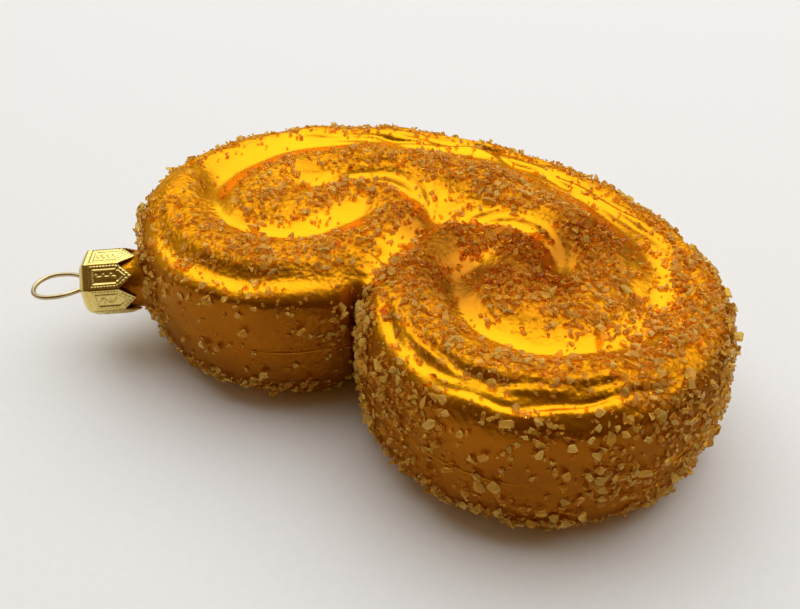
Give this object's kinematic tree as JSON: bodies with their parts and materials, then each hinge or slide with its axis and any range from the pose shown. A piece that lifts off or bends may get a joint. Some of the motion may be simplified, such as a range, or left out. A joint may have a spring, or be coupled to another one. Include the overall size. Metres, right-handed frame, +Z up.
{
  "type": "palmier-shaped glass ornament",
  "caption": "Blown-glass hanging ornament shaped like a sugared palmier pastry, with a petalled metal cap and a wire loop.",
  "frame": {"origin": "on the resting plane, under the middle of the whole ornament's bounding box", "axes": "+Z up out of the upper face as the ornament lies flat; +X from the lobe with the cap to the other lobe; -Y towards the notch between the lobes"},
  "size_m": [0.1072, 0.0742, 0.0252],
  "materials": {
    "amber_glass": "satin gold-amber lacquer over silvered glass, with sugar-like glass grains",
    "stamped_brass": "stamped, bright",
    "brass_wire": "drawn, slightly dull"
  },
  "bodies": {
    "root": {"glass_body": "amber_glass", "cap": "stamped_brass", "wire_loop": "brass_wire"}
  },
  "joints": []
}
